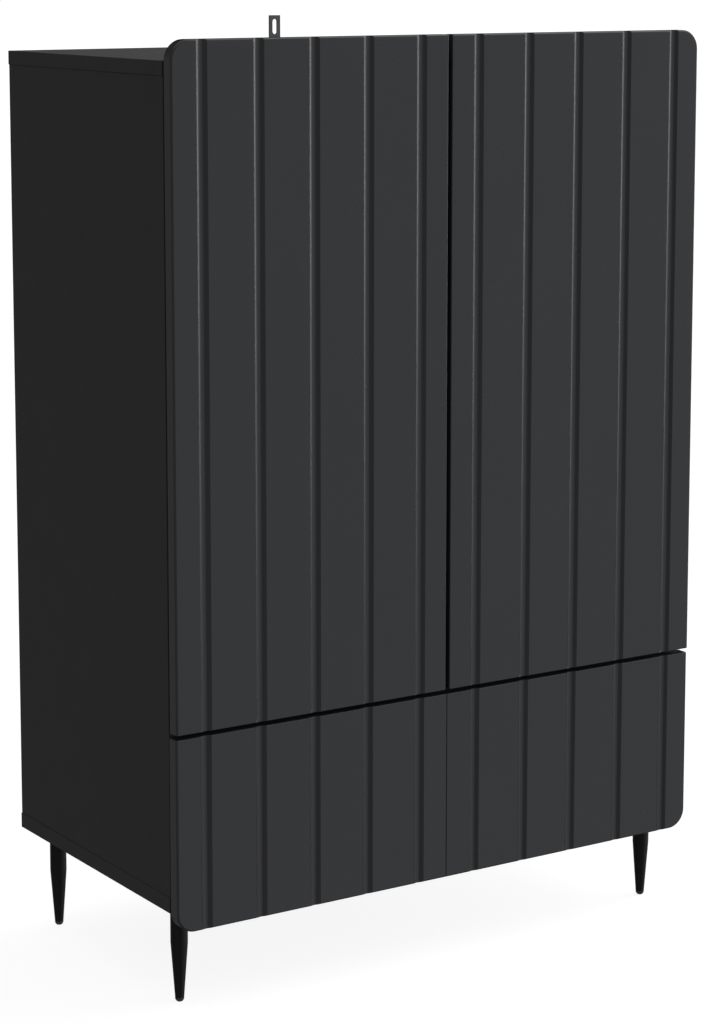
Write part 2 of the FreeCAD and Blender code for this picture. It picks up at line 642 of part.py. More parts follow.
def hinge_arm(z):
    """Bent arm: from the knuckle round the pin, across the cup, and back along the side panel."""
    low = z - KNUCKLE_HALF
    high = z + KNUCKLE_HALF
    inside = ARM_X - HALF
    half_arm = ARM_THICKNESS / 2
    knuckle = rod(Vector(PIN_AXIS_X, PIN_AXIS_Y, low), Z, KNUCKLE_RADIUS, 2 * KNUCKLE_HALF)
    across = box(PIN_AXIS_X, inside + ARM_THICKNESS, PIN_AXIS_Y - half_arm, PIN_AXIS_Y + half_arm,
                 low, high)
    along = box(inside, inside + ARM_THICKNESS, PIN_AXIS_Y - half_arm, CARCASS_FRONT + ARM_REACH,
                low, high)
    arm = knuckle.fuse([across, along]).removeSplitter()
    bore = rod(Vector(PIN_AXIS_X, PIN_AXIS_Y, low), Z, HINGE_PIN_RADIUS + RUNNING_PLAY,
               2 * KNUCKLE_HALF)
    screw_hole = rod(Vector(inside, CARCASS_FRONT + PLATE_FROM_FRONT, z), X,
                     ARM_SCREW_HOLE_RADIUS, ARM_THICKNESS)
    return arm.cut([bore, screw_hole])


def hinge_plate(z):
    """Winged plate on the side panel: two screws in its wings, the arm's screw in the middle."""
    y = CARCASS_FRONT + PLATE_FROM_FRONT
    inner = PLATE_THICKNESS - SIDE_IN
    wings = box(-SIDE_IN, inner, y - PLATE_WING_HALF_WIDTH, y + PLATE_WING_HALF_WIDTH,
                z - PLATE_WING_HALF_HEIGHT, z + PLATE_WING_HALF_HEIGHT)
    body = box(-SIDE_IN, inner, y - PLATE_BODY_HALF_DEPTH, y + PLATE_BODY_HALF_DEPTH,
               z - PLATE_BODY_HALF_HEIGHT, z + PLATE_BODY_HALF_HEIGHT)
    plate = wings.fuse(body).removeSplitter()
    cuts = [rod(Vector(-SIDE_IN, y, z + offset), X, SCREW_HOLE_RADIUS, PLATE_THICKNESS)
            for offset in (-PLATE_SCREW_SPACING / 2, PLATE_SCREW_SPACING / 2)]
    cuts.append(rod(Vector(-SIDE_IN, y, z), X, ARM_SCREW_HOLE_RADIUS, PLATE_THICKNESS))
    return plate.cut(cuts)


def hinge_screws():
    """Screws of the mounting plates, and the one that holds each arm to its plate."""
    screws = [screw(point, -X, *PLATE_SCREW) for point in hinge_plate_screw_points()]
    for z in HINGE_HEIGHTS:
        head = Vector(ARM_X + ARM_THICKNESS - HALF, CARCASS_FRONT + PLATE_FROM_FRONT, z)
        screws.append(screw(head, -X, *ARM_SCREW))
    return both_sides(screws)


def cup_screws():
    return [screw(point, -Y, *CUP_SCREW) for point in cup_screw_points()]


BUMPER_RADIUS = 3.0
BUMPER_HEIGHT = 3.0
BUMPER_IN = 24.0             # from the door's inner edge


def door_bumpers():
    """Rubber dots on the door's back, opposite the front edges of the top panel and fixed shelf."""
    x = -FRONT_GAP / 2 - BUMPER_IN
    heights = (DOOR_BOTTOM + GAP_ROUNDING + BUMPER_RADIUS, INSIDE_TOP + BOARD / 2)
    return [rod(Vector(x, DOOR_BACK, z), Y, BUMPER_RADIUS, BUMPER_HEIGHT) for z in heights]


# ---- drawer box -------------------------------------------------------------------------------------

BOX_BOARD = 12.0
BOX_LENGTH = 362.0
BOX_HALF = SIDE_IN - RUNNER_THICKNESS            # X of the drawer box's outer faces
BOX_IN = BOX_HALF - BOX_BOARD
BOX_BOTTOM = 160.0
BOX_TOP = 300.0
BOX_FRONT = FACE + DRAWER_SETBACK + FRONT_THICKNESS
BOX_REAR = BOX_FRONT + BOX_LENGTH
SHEET = 3.0                  # drawer bottom
SHEET_LEVEL = BOX_BOTTOM + 12.0
SHEET_GROOVE = 6.0
BATTEN_HALF = 30.0
FRONT_SCREW_PLACES = (-330.0, -180.0, -40.0)
FRONT_SCREW_LEVELS = (BOX_BOTTOM + 35.0, BOX_TOP - 25.0)
BOX_SCREW_LEVELS = (BOX_BOTTOM + 25.0, BOX_TOP - 20.0)
BATTEN_SCREW_PLACES = (-15.0, 15.0)


def sheet_groove():
    """Groove for the drawer bottom, as one box that is cut from all four boards."""
    reach = BOX_IN + SHEET_GROOVE
    return box(-reach, reach, BOX_FRONT + BOX_BOARD - SHEET_GROOVE, BOX_REAR - BOX_BOARD + SHEET_GROOVE,
               SHEET_LEVEL - BACK_PLAY, SHEET_LEVEL + SHEET + BACK_PLAY)


def front_screw_points():
    """Where the screws that hold the left half of the drawer front meet its back."""
    points = []
    for x in FRONT_SCREW_PLACES:
        for z in FRONT_SCREW_LEVELS:
            points.append(Vector(x, BOX_FRONT, z))
    return points


def box_screw_points():
    """On the drawer's left outer face, into the ends of the inner front and the back."""
    points = []
    for y in (BOX_FRONT + BOX_BOARD / 2, BOX_REAR - BOX_BOARD / 2):
        for z in BOX_SCREW_LEVELS:
            points.append(Vector(-BOX_HALF, y, z))
    return points


def box_end_cuts():
    """Pilot holes in the ends of the drawer's inner front and back."""
    return both_sides([rod(point + X * BOX_BOARD, X, PILOT_RADIUS, BOX_END_PILOT_DEPTH)
                       for point in box_screw_points()])


def drawer_side_left():
    side = box(-BOX_HALF, -BOX_IN, BOX_FRONT, BOX_REAR, BOX_BOTTOM, BOX_TOP)
    cuts = [sheet_groove()]
    for point in box_screw_points():
        cuts.append(rod(point, X, SCREW_HOLE_RADIUS, BOX_BOARD))
        cuts.append(rod(point, X, HEAD_POCKET_RADIUS, HEAD_POCKET_DEPTH))
    for point in inner_screw_points():
        cuts.append(rod(Vector(-BOX_HALF, point.y, point.z), X, PILOT_RADIUS, BOX_SIDE_PILOT_DEPTH))
    return side.cut(cuts)


def drawer_inner_front():
    board = box(-BOX_IN, BOX_IN, BOX_FRONT, BOX_FRONT + BOX_BOARD, BOX_BOTTOM, BOX_TOP)
    cuts = [sheet_groove()] + box_end_cuts() + batten_screw_holes()
    holes = [rod(point, Y, SCREW_HOLE_RADIUS, BOX_BOARD) for point in front_screw_points()]
    return board.cut(cuts + both_sides(holes))


def drawer_back():
    board = box(-BOX_IN, BOX_IN, BOX_REAR - BOX_BOARD, BOX_REAR, BOX_BOTTOM, BOX_TOP)
    return board.cut([sheet_groove()] + box_end_cuts() + batten_screw_holes())


def drawer_bottom():
    reach = SHEET_GROOVE - HOLE_SPARE
    return box(-BOX_IN - reach, BOX_IN + reach, BOX_FRONT + BOX_BOARD - reach,
               BOX_REAR - BOX_BOARD + reach, SHEET_LEVEL, SHEET_LEVEL + SHEET)


def drawer_batten():
    """Flat batten that stiffens the thin bottom from below, from the inner front to the back."""
    batten = box(-BATTEN_HALF, BATTEN_HALF, BOX_FRONT + BOX_BOARD, BOX_REAR - BOX_BOARD,
                 BOX_BOTTOM, SHEET_LEVEL)
    return batten.cut(batten_pilots())


def batten_points():
    """Under the head of each of the batten's screws, at both of its ends, and the way it is driven."""
    level = (BOX_BOTTOM + SHEET_LEVEL) / 2
    points = []
    for x in BATTEN_SCREW_PLACES:
        points.append((Vector(x, BOX_FRONT + HEAD_POCKET_DEPTH, level), Y))
        points.append((Vector(x, BOX_REAR - HEAD_POCKET_DEPTH, level), -Y))
    return points


def batten_screw_holes():
    holes = []
    for head, direction in batten_points():
        holes.append(rod(head, direction, SCREW_HOLE_RADIUS, BOX_BOARD))
        holes.append(rod(head, -direction, HEAD_POCKET_RADIUS, HEAD_POCKET_DEPTH))
    return holes


def batten_pilots():
    return [rod(head, direction, PILOT_RADIUS, BATTEN_PILOT_DEPTH) for head, direction in batten_points()]


def drawer_front_screws():
    return both_sides([screw(point + Y * BOX_BOARD, -Y, *FRONT_SCREW) for point in front_screw_points()])


def drawer_box_screws():
    corners = [screw(point + X * HEAD_POCKET_DEPTH, X, *BOX_SCREW) for point in box_screw_points()]
    battens = [screw(head, direction, *BOX_SCREW) for head, direction in batten_points()]
    return both_sides(corners) + battens


# ---- telescopic runners -----------------------------------------------------------------------------

SHEET_STEEL = 1.2
RUNNER_SETBACK = 2.0         # runner behind the carcass front
RUNNER_FRONT = CARCASS_FRONT + RUNNER_SETBACK
RUNNER_REAR = RUNNER_FRONT + RUNNER_LENGTH
OUTER_DEPTH = 10.0
MIDDLE_GAP = 1.2             # outer web to middle web
MIDDLE_HALF = 17.5
MIDDLE_DEPTH = 8.2
INNER_HALF = 11.5
INNER_DEPTH = 7.0
RUNNER_SCREWS = (35.0, 163.0, 323.0)             # behind the runner's front end


def channel(web_x, open_x, half_height):
    """U-shaped steel section along the runner, with its web at web_x and open towards open_x."""
    sign = 1 if open_x > web_x else -1
    outer = box(web_x, open_x, RUNNER_FRONT, RUNNER_REAR,
                RUNNER_LEVEL - half_height, RUNNER_LEVEL + half_height)
    inner_half = half_height - SHEET_STEEL
    hollow = box(web_x + sign * SHEET_STEEL, open_x, RUNNER_FRONT, RUNNER_REAR,
                 RUNNER_LEVEL - inner_half, RUNNER_LEVEL + inner_half)
    return outer.cut(hollow)


def runner_screw_points():
    """On the left outer member's web, under the screw heads."""
    return [Vector(SHEET_STEEL - SIDE_IN, RUNNER_FRONT + along, RUNNER_LEVEL)
            for along in RUNNER_SCREWS]


def inner_screw_points():
    """On the left inner member's web, under the screw heads."""
    return [Vector(-BOX_HALF - SHEET_STEEL, RUNNER_FRONT + along, RUNNER_LEVEL)
            for along in RUNNER_SCREWS]


def runner_outer_left():
    member = channel(-SIDE_IN, -SIDE_IN + OUTER_DEPTH, RUNNER_HEIGHT / 2)
    holes = [rod(point - X * SHEET_STEEL, X, SCREW_HOLE_RADIUS, SHEET_STEEL)
             for point in runner_screw_points()]
    return member.cut(holes)


def runner_middle_left():
    web = -SIDE_IN + SHEET_STEEL + MIDDLE_GAP
    return channel(web, web + MIDDLE_DEPTH, MIDDLE_HALF)


def runner_inner_left():
    member = channel(-BOX_HALF, -BOX_HALF - INNER_DEPTH, INNER_HALF)
    holes = [rod(point, X, SCREW_HOLE_RADIUS, SHEET_STEEL) for point in inner_screw_points()]
    return member.cut(holes)


def runner_screws():
    return both_sides([screw(point, -X, *RUNNER_OUTER_SCREW) for point in runner_screw_points()])


def runner_inner_screws():
    return both_sides([screw(point, X, *RUNNER_INNER_SCREW) for point in inner_screw_points()])


# ---- write every sub-part ---------------------------------------------------------------------------

def write_pair(name_left, left):
    """A left-hand piece, and its mirror image under the right-hand name."""
    write(name_left, left)
    if isinstance(left, list):
        right = [mirrored(shape) for shape in left]
    else:
        right = mirrored(left)
    write(name_left.replace("left", "right"), right)


def write_carcass():
    write("top_panel", top_panel())
    write("bottom_panel", bottom_panel())
    write_pair("side_panel_left", side_panel_left())
    write("fixed_shelf", fixed_shelf())
    write("shelf_lower", adjustable_shelf(SHELF_UNDERSIDES[0]))
    write("shelf_upper", adjustable_shelf(SHELF_UNDERSIDES[1]))
    write("shelf_pins", shelf_pins())
    write_pair("back_panel_left", back_panel_left())
    write("back_joining_strip", back_joining_strip())
    write("cam_locks", both_sides(gather(LEFT_JOINTS, "cam")))
    write("cam_bolts", both_sides(gather(LEFT_JOINTS, "bolt")))
    write("dowels", both_sides(gather(LEFT_JOINTS, "dowel")))
    write("wall_bracket", wall_bracket())
    write("wall_bracket_screws", wall_bracket_screws())


def write_legs():
    places = list(leg_places())
    for suffix, x, y in places:
        write("leg_" + suffix, leg(x, y))
        write("glide_" + suffix, leg_glide(x, y))
    write("leg_studs", [leg_stud(x, y) for _, x, y in places])
    write("leg_inserts", [leg_insert(x, y) for _, x, y in places])


def write_doors():
    write_pair("left_door_panel", left_door_panel())
    write_pair("left_hinge_cups", [hinge_cup(z) for z in HINGE_HEIGHTS])
    write_pair("left_hinge_pins", [hinge_pin(z) for z in HINGE_HEIGHTS])
    write_pair("left_cup_screws", cup_screws())
    write_pair("left_door_bumpers", door_bumpers())
    write_pair("left_hinge_arms", [hinge_arm(z) for z in HINGE_HEIGHTS])
    write("hinge_plates", both_sides([hinge_plate(z) for z in HINGE_HEIGHTS]))
    write("hinge_screws", hinge_screws())


def write_drawer():
    write_pair("drawer_front_left", drawer_front_left())
    write_pair("drawer_side_left", drawer_side_left())
    write("drawer_inner_front", drawer_inner_front())
    write("drawer_back", drawer_back())
    write("drawer_bottom", drawer_bottom())
    write("drawer_batten", drawer_batten())
    write("drawer_front_screws", drawer_front_screws())
    write("drawer_box_screws", drawer_box_screws())
    write_pair("runner_outer_left", runner_outer_left())
    write_pair("runner_middle_left", runner_middle_left())
    write_pair("runner_inner_left", runner_inner_left())
    write("runner_screws", runner_screws())
    write("runner_inner_screws", runner_inner_screws())


os.makedirs("parts", exist_ok=True)
write_carcass()
write_legs()
write_doors()
write_drawer()
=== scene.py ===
import json
import math

import bmesh
import bpy
from mathutils import Matrix, Vector

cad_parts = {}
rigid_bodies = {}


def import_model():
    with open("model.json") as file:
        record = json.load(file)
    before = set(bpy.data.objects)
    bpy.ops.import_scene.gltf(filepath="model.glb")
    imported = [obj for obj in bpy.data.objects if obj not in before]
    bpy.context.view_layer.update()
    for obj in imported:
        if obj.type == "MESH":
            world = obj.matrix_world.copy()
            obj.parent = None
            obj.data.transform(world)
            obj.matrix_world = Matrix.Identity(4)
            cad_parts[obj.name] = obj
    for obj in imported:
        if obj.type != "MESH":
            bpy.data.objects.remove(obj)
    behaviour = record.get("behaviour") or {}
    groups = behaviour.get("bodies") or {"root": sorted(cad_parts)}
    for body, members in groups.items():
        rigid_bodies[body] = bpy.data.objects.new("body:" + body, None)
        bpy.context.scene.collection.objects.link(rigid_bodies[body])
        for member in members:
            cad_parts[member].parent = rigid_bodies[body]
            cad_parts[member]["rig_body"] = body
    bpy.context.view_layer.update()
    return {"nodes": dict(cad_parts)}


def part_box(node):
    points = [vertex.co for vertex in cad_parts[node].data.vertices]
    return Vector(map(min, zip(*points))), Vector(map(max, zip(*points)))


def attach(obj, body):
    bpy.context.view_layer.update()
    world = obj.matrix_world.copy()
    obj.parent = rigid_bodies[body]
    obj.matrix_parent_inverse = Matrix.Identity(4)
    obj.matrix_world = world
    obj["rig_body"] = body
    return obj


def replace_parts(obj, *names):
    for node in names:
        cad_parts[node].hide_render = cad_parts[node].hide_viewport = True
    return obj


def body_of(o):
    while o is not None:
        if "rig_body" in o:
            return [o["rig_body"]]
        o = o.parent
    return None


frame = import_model()
NODES = frame["nodes"]
MM = 0.001
MICRON = 0.000001


# ---- procedural materials -----------------------------------------------------------------

WHITE = (1.0, 1.0, 1.0)
FOIL = (0.030, 0.030, 0.0305)
FOIL_SPECULAR = 0.5
FOIL_ROUGHNESS = 0.26
BOARD = (0.033, 0.033, 0.033)
BOARD_SPECULAR = 0.5
BOARD_ROUGHNESS = 0.60
UNSTRETCHED = (1.0, 1.0, 1.0)
MIX_COLOUR_A = 6
MIX_COLOUR_B = 7
MIX_COLOUR_RESULT = 2


class Surface:
    """A material: its node tree, its shader and the object coordinates that its textures follow."""

    def __init__(self, name, **constants):
        self.material = bpy.data.materials.new(name)
        self.material.use_nodes = True
        self.tree = self.material.node_tree
        self.shader = self.tree.nodes["Principled BSDF"]
        self.coordinates = self.add("ShaderNodeTexCoord")
        self.place = self.coordinates.outputs["Object"]
        for socket, value in constants.items():
            self.shader.inputs[socket.replace("_", " ")].default_value = value
        self.normal = None

    def add(self, kind, **settings):
        node = self.tree.nodes.new(kind)
        for name, value in settings.items():
            setattr(node, name, value)
        return node

    def link(self, output, socket):
        self.tree.links.new(output, socket)

    def stretched(self, scale):
        """Coordinates multiplied by a number along each axis, for grain and brushing."""
        mapping = self.add("ShaderNodeMapping")
        mapping.inputs["Scale"].default_value = scale
        self.link(self.place, mapping.inputs["Vector"])
        return mapping.outputs["Vector"]

    def noise(self, scale, detail=3.0, roughness=0.5, place=None, distortion=0.0):
        node = self.add("ShaderNodeTexNoise")
        node.inputs["Scale"].default_value = scale
        node.inputs["Detail"].default_value = detail
        node.inputs["Roughness"].default_value = roughness
        node.inputs["Distortion"].default_value = distortion
        self.link(place or self.place, node.inputs["Vector"])
        return node.outputs["Fac"]

    def cells(self, scale, place=None):
        node = self.add("ShaderNodeTexVoronoi")
        node.inputs["Scale"].default_value = scale
        self.link(place or self.place, node.inputs["Vector"])
        return node.outputs["Distance"]

    def spread(self, value, low, high, start=0.3, end=0.7):
        """A value that runs from low to high while the input runs from start to end."""
        node = self.add("ShaderNodeMapRange")
        node.inputs["From Min"].default_value = start
        node.inputs["From Max"].default_value = end
        node.inputs["To Min"].default_value = low
        node.inputs["To Max"].default_value = high
        self.link(value, node.inputs["Value"])
        return node.outputs["Result"]

    def mix(self, factor, first, second):
        """Blend of two colours, each an output or three numbers."""
        node = self.add("ShaderNodeMix", data_type="RGBA")
        self.link(factor, node.inputs["Factor"])
        for socket, colour in ((MIX_COLOUR_A, first), (MIX_COLOUR_B, second)):
            if isinstance(colour, tuple):
                node.inputs[socket].default_value = (*colour, 1.0)
            else:
                self.link(colour, node.inputs[socket])
        return node.outputs[MIX_COLOUR_RESULT]

    def colour(self, output):
        self.link(output, self.shader.inputs["Base Color"])

    def roughness(self, output):
        self.link(output, self.shader.inputs["Roughness"])

    def bump(self, height, distance):
        """Adds one layer of relief; distance is its height in metres."""
        node = self.add("ShaderNodeBump")
        node.inputs["Distance"].default_value = distance
        self.link(height, node.inputs["Height"])
        if self.normal is not None:
            self.link(self.normal, node.inputs["Normal"])
        self.normal = node.outputs["Normal"]
        self.link(self.normal, self.shader.inputs["Normal"])


def scaled(colour, factor):
    return tuple(channel * factor for channel in colour)


def front_foil():
    """Silk-matt anthracite foil: fine pebbled emboss, faint press waviness, handling marks."""
    s = Surface("front_foil", Specular_IOR_Level=FOIL_SPECULAR)
    cloud = s.spread(s.noise(6.0, 4.0, 0.55), 0.0, 1.0)
    tone = s.mix(cloud, scaled(FOIL, 0.98), scaled(FOIL, 1.02))
    s.colour(s.mix(s.spread(s.noise(900.0, 2.0, 0.7), 0.0, 0.35), tone, scaled(FOIL, 1.2)))
    marks = s.noise(9.0, 5.0, 0.6, distortion=0.6)
    s.roughness(s.spread(marks, FOIL_ROUGHNESS - 0.02, FOIL_ROUGHNESS + 0.02))
    s.bump(s.noise(1300.0, 2.0, 0.6), 10 * MICRON)
    s.bump(s.noise(75.0, 2.0, 0.4), 6 * MICRON)
    return s.material


def melamine():
    """Matt anthracite melamine: pearl emboss, and the paper's slight cloudiness."""
    s = Surface("carcass_melamine", Specular_IOR_Level=BOARD_SPECULAR)
    cloud = s.spread(s.noise(14.0, 5.0, 0.6), 0.0, 1.0)
    tone = s.mix(cloud, scaled(BOARD, 0.97), scaled(BOARD, 1.03))
    fleck = s.spread(s.noise(1100.0, 1.0, 0.5), 0.0, 0.3, 0.45, 0.75)
    s.colour(s.mix(fleck, tone, scaled(BOARD, 1.4)))
    s.roughness(s.spread(s.noise(20.0, 4.0), BOARD_ROUGHNESS - 0.02, BOARD_ROUGHNESS + 0.02))
    s.bump(s.cells(700.0), 40 * MICRON)
    s.bump(s.noise(120.0, 2.0), 8 * MICRON)
    return s.material


def hardboard():
    """Thin back: printed dark like the boards on the inside, raw brown fibre towards the wall."""
    s = Surface("back_sheet", Specular_IOR_Level=0.3)
    facing = s.add("ShaderNodeSeparateXYZ")
    s.link(s.coordinates.outputs["Normal"], facing.inputs["Vector"])
    raw = s.spread(facing.outputs["Y"], 0.0, 1.0, 0.4, 0.6)
    fibres = s.noise(260.0, 6.0, 0.75, distortion=1.5)
    clots = s.noise(38.0, 4.0, 0.6)
    brown = s.mix(s.spread(fibres, 0.0, 1.0), (0.130, 0.080, 0.045), (0.250, 0.165, 0.098))
    brown = s.mix(s.spread(clots, 0.0, 0.5), brown, (0.170, 0.108, 0.062))
    cloud = s.spread(s.noise(20.0, 4.0), 0.0, 1.0)
    printed = s.mix(cloud, scaled(BOARD, 0.92), scaled(BOARD, 1.08))
    s.colour(s.mix(raw, printed, brown))
    s.roughness(s.spread(raw, 0.5, 0.82, 0.0, 1.0))
    s.bump(fibres, 80 * MICRON)
    s.bump(s.cells(900.0), 20 * MICRON)
    return s.material


def drawer_print():
    """Grey printed foil on the drawer's boards, with a faint linear grain along the length."""
    s = Surface("drawer_board", Specular_IOR_Level=0.4)
    grain = s.noise(60.0, 5.0, 0.65, s.stretched((1.0, 0.12, 9.0)))
    tone = s.mix(s.spread(grain, 0.0, 1.0), (0.088, 0.089, 0.092), (0.120, 0.121, 0.125))
    s.colour(s.mix(s.spread(s.noise(700.0), 0.0, 0.2), tone, (0.16, 0.16, 0.165)))
    s.roughness(s.spread(s.noise(25.0, 3.0), 0.48, 0.58))
    s.bump(grain, 30 * MICRON)
    s.bump(s.noise(900.0), 10 * MICRON)
    return s.material


def powder_coat():
    """Black powder coat: orange peel, with a few lighter specks."""
    s = Surface("leg_steel", Specular_IOR_Level=0.25)
    speck = s.spread(s.noise(1500.0, 1.0), 0.0, 0.35, 0.6, 0.8)
    cloud = s.spread(s.noise(40.0, 3.0), 0.0, 1.0)
    base = s.mix(cloud, (0.0045, 0.0045, 0.0046), (0.0065, 0.0065, 0.0067))
    s.colour(s.mix(speck, base, (0.02, 0.02, 0.02)))
    s.roughness(s.spread(s.noise(90.0, 3.0), 0.36, 0.48))
    s.bump(s.noise(420.0, 2.0, 0.4), 60 * MICRON)
    s.bump(s.noise(1800.0), 10 * MICRON)
    return s.material


def moulded(name, colour, rough, stretch=UNSTRETCHED):
    """Plastic or rubber: fine spark texture, and streaks along the axis with a small number."""
    s = Surface(name, Specular_IOR_Level=0.4)
    streaks = s.noise(150.0, 4.0, 0.6, s.stretched(stretch))
    s.colour(s.mix(s.spread(streaks, 0.0, 1.0), scaled(colour, 0.88), scaled(colour, 1.12)))
    s.roughness(s.spread(s.noise(300.0, 3.0), rough - 0.06, rough + 0.06))
    s.bump(streaks, 30 * MICRON)
    s.bump(s.noise(2200.0, 2.0), 10 * MICRON)
    return s.material


def dull_zinc():
    """Blue-grey passivated zinc: cloudy, with faint rolling lines up the strip."""
    s = Surface("bracket_steel", Metallic=0.35, Specular_IOR_Level=0.4)
    clouds = s.spread(s.noise(55.0, 6.0, 0.65, distortion=0.8), 0.0, 1.0)
    rolled = s.noise(500.0, 4.0, 0.6, s.stretched((1.0, 1.0, 0.05)))
    tone = s.mix(clouds, (0.115, 0.116, 0.118), (0.155, 0.156, 0.158))
    s.colour(s.mix(s.spread(rolled, 0.0, 0.4), tone, (0.185, 0.185, 0.185)))
    s.roughness(s.spread(s.noise(120.0, 4.0), 0.42, 0.58))
    s.bump(rolled, 20 * MICRON)
    return s.material


def plated(name, colour, rough, frequency, depth, stretch=UNSTRETCHED):
    """Plated steel or cast metal: uneven plating over drawing, brushing or casting texture."""
    s = Surface(name, Metallic=1.0)
    lines = s.noise(frequency, 5.0, 0.65, s.stretched(stretch))
    stain = s.noise(70.0, 4.0, 0.6, distortion=0.5)
    tone = s.mix(s.spread(stain, 0.0, 1.0), scaled(colour, 0.86), colour)
    s.colour(s.mix(s.spread(lines, 0.0, 0.6), tone, scaled(colour, 1.12)))
    s.roughness(s.spread(stain, rough - 0.06, rough + 0.10))
    s.bump(lines, depth)
    return s.material


def galvanised():
    """Runner steel: small zinc spangle under brushing along the rail, a little dull with grease."""
    s = Surface("runner_steel", Metallic=1.0)
    spangle = s.cells(420.0)
    brushed = s.noise(900.0, 4.0, 0.6, s.stretched((1.0, 0.03, 1.0)))
    grease = s.noise(30.0, 3.0, 0.6, distortion=0.8)
    crystals = s.spread(spangle, 0.0, 1.0, 0.1, 0.7)
    tone = s.mix(crystals, (0.40, 0.41, 0.42), (0.56, 0.565, 0.57))
    s.colour(s.mix(s.spread(brushed, 0.0, 0.5), tone, (0.62, 0.62, 0.62)))
    s.roughness(s.spread(grease, 0.26, 0.44))
    s.bump(brushed, 20 * MICRON)
    return s.material


def beech():
    """Dowel wood: pale grain along the dowel, with short dark rays."""
    s = Surface("beech", Specular_IOR_Level=0.3)
    grain = s.noise(320.0, 6.0, 0.7, s.stretched((0.15, 1.0, 0.15)), 1.0)
    rays = s.spread(s.cells(900.0, s.stretched((0.3, 1.0, 0.3))), 1.0, 0.0, 0.0, 0.25)
    wood = s.mix(s.spread(grain, 0.0, 1.0), (0.42, 0.27, 0.145), (0.60, 0.42, 0.25))
    s.colour(s.mix(rays, wood, (0.30, 0.17, 0.08)))
    s.roughness(s.spread(grain, 0.55, 0.72))
    s.bump(grain, 60 * MICRON)
    return s.material


MATERIALS = {
    "carcass_board": melamine(),
    "front_foil": front_foil(),
    "back_sheet": hardboard(),
    "drawer_board": drawer_print(),
    "leg_steel": powder_coat(),
    "glide_plastic": moulded("glide_plastic", (0.060, 0.060, 0.060), 0.4),
    "bracket_steel": dull_zinc(),
    "plated_screw": plated("plated_screw", (0.58, 0.57, 0.54), 0.28, 900.0, 20 * MICRON),
    "cast_zinc": plated("cast_zinc", (0.46, 0.46, 0.47), 0.42, 1400.0, 60 * MICRON),
    "hinge_nickel": plated("hinge_nickel", (0.60, 0.59, 0.565), 0.32, 700.0, 10 * MICRON,
                           (1.0, 1.0, 0.08)),
    "runner_steel": galvanised(),
    "beech": beech(),
    "strip_plastic": moulded("strip_plastic", (0.021, 0.021, 0.021), 0.45, (1.0, 1.0, 0.02)),
    "bumper_rubber": moulded("bumper_rubber", (0.24, 0.24, 0.235), 0.5),
}

SLOT_OF = {}
BODY_OF = {}
for node_name, node in NODES.items():
    BODY_OF[node_name] = body_of(node)[0]
    for entry in node.material_slots:
        SLOT_OF[node_name] = entry.material.name.split(".")[0]
        entry.material = MATERIALS[SLOT_OF[node_name]]


# ---- pieces that stand for CAD nodes -------------------------------------------------------

WELD = 0.001 * MM
LEVEL_TOLERANCE = 0.02 * MM
SHARP_SHADING = math.radians(50)
SHARP_EDGE = math.radians(60)


def mesh_of(node_name):
    """The node's mesh as an editable copy, welded."""
    shape = bmesh.new()
    shape.from_mesh(NODES[node_name].data)
    bmesh.ops.remove_doubles(shape, verts=shape.verts, dist=WELD)
    return shape


def finish_piece(name, shape, node_name):
    """Makes a piece of an edited mesh, with the node's finish, that moves with the node's body."""
    for face in shape.faces:
        face.smooth = True
    for edge in shape.edges:
        if len(edge.link_faces) != 2 or edge.calc_face_angle(0.0) > SHARP_SHADING:
            edge.smooth = False
    mesh = bpy.data.meshes.new(name)
    shape.to_mesh(mesh)
    shape.free()
    mesh.materials.clear()
    mesh.materials.append(MATERIALS[SLOT_OF[node_name]])
    piece = bpy.data.objects.new(name, mesh)
    bpy.context.scene.collection.objects.link(piece)
    weighted = piece.modifiers.new("weighted", "WEIGHTED_NORMAL")
    weighted.keep_sharp = True
    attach(piece, BODY_OF[node_name])
    return piece


def eased(node_name, width, shortest, segments=2):
    """The node with its long outer edges rounded off by width, as machining leaves them."""
    shape = mesh_of(node_name)
    bmesh.ops.dissolve_limit(shape, angle_limit=math.radians(0.5),
                             verts=shape.verts, edges=shape.edges)
    long_edges = [edge for edge in shape.edges
                  if len(edge.link_faces) == 2 and edge.is_convex
                  and edge.calc_length() >= shortest and edge.calc_face_angle(0.0) > SHARP_EDGE]
    bmesh.ops.bevel(shape, geom=long_edges, offset=width, offset_type="OFFSET",
                    segments=segments, profile=0.5, affect="EDGES", clamp_overlap=False)
    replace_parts(finish_piece(node_name + "_eased", shape, node_name), node_name)


def islands(node_name):
    """Vertex places of every separate solid in a node, in the order of the mesh."""
    shape = mesh_of(node_name)
    waiting = set(shape.verts)
    found = []
    for first in shape.verts:
        if first not in waiting:
            continue
        waiting.remove(first)
        group = [first]
        for vert in group:
            for edge in vert.link_edges:
                other = edge.other_vert(vert)
                if other in waiting:
                    waiting.remove(other)
                    group.append(other)
        found.append([vert.co.copy() for vert in group])
    shape.free()
    return found


def along_axis(points):
    """A turned solid's axis: (index, centre, start, end, radius at start, radius at end).

    start is the wider end. The axis is the one whose two others span the most alike.
    """
    low = Vector([min(p[i] for p in points) for i in range(3)])
    high = Vector([max(p[i] for p in points) for i in range(3)])
    centre = (low + high) / 2
    size = high - low
    axis = min((abs(size[i] - size[(i + 1) % 3]), (i + 2) % 3) for i in range(3))[1]

    def reach(level):
        near = [p for p in points if abs(p[axis] - level) < LEVEL_TOLERANCE]
        return max(math.dist([p[i] for i in range(3) if i != axis],
                             [centre[i] for i in range(3) if i != axis]) for p in near)

    ends = (low[axis], high[axis])
    start, end = ends if reach(ends[0]) >= reach(ends[1]) else ends[::-1]
    return axis, centre, start, end, reach(start), reach(end)


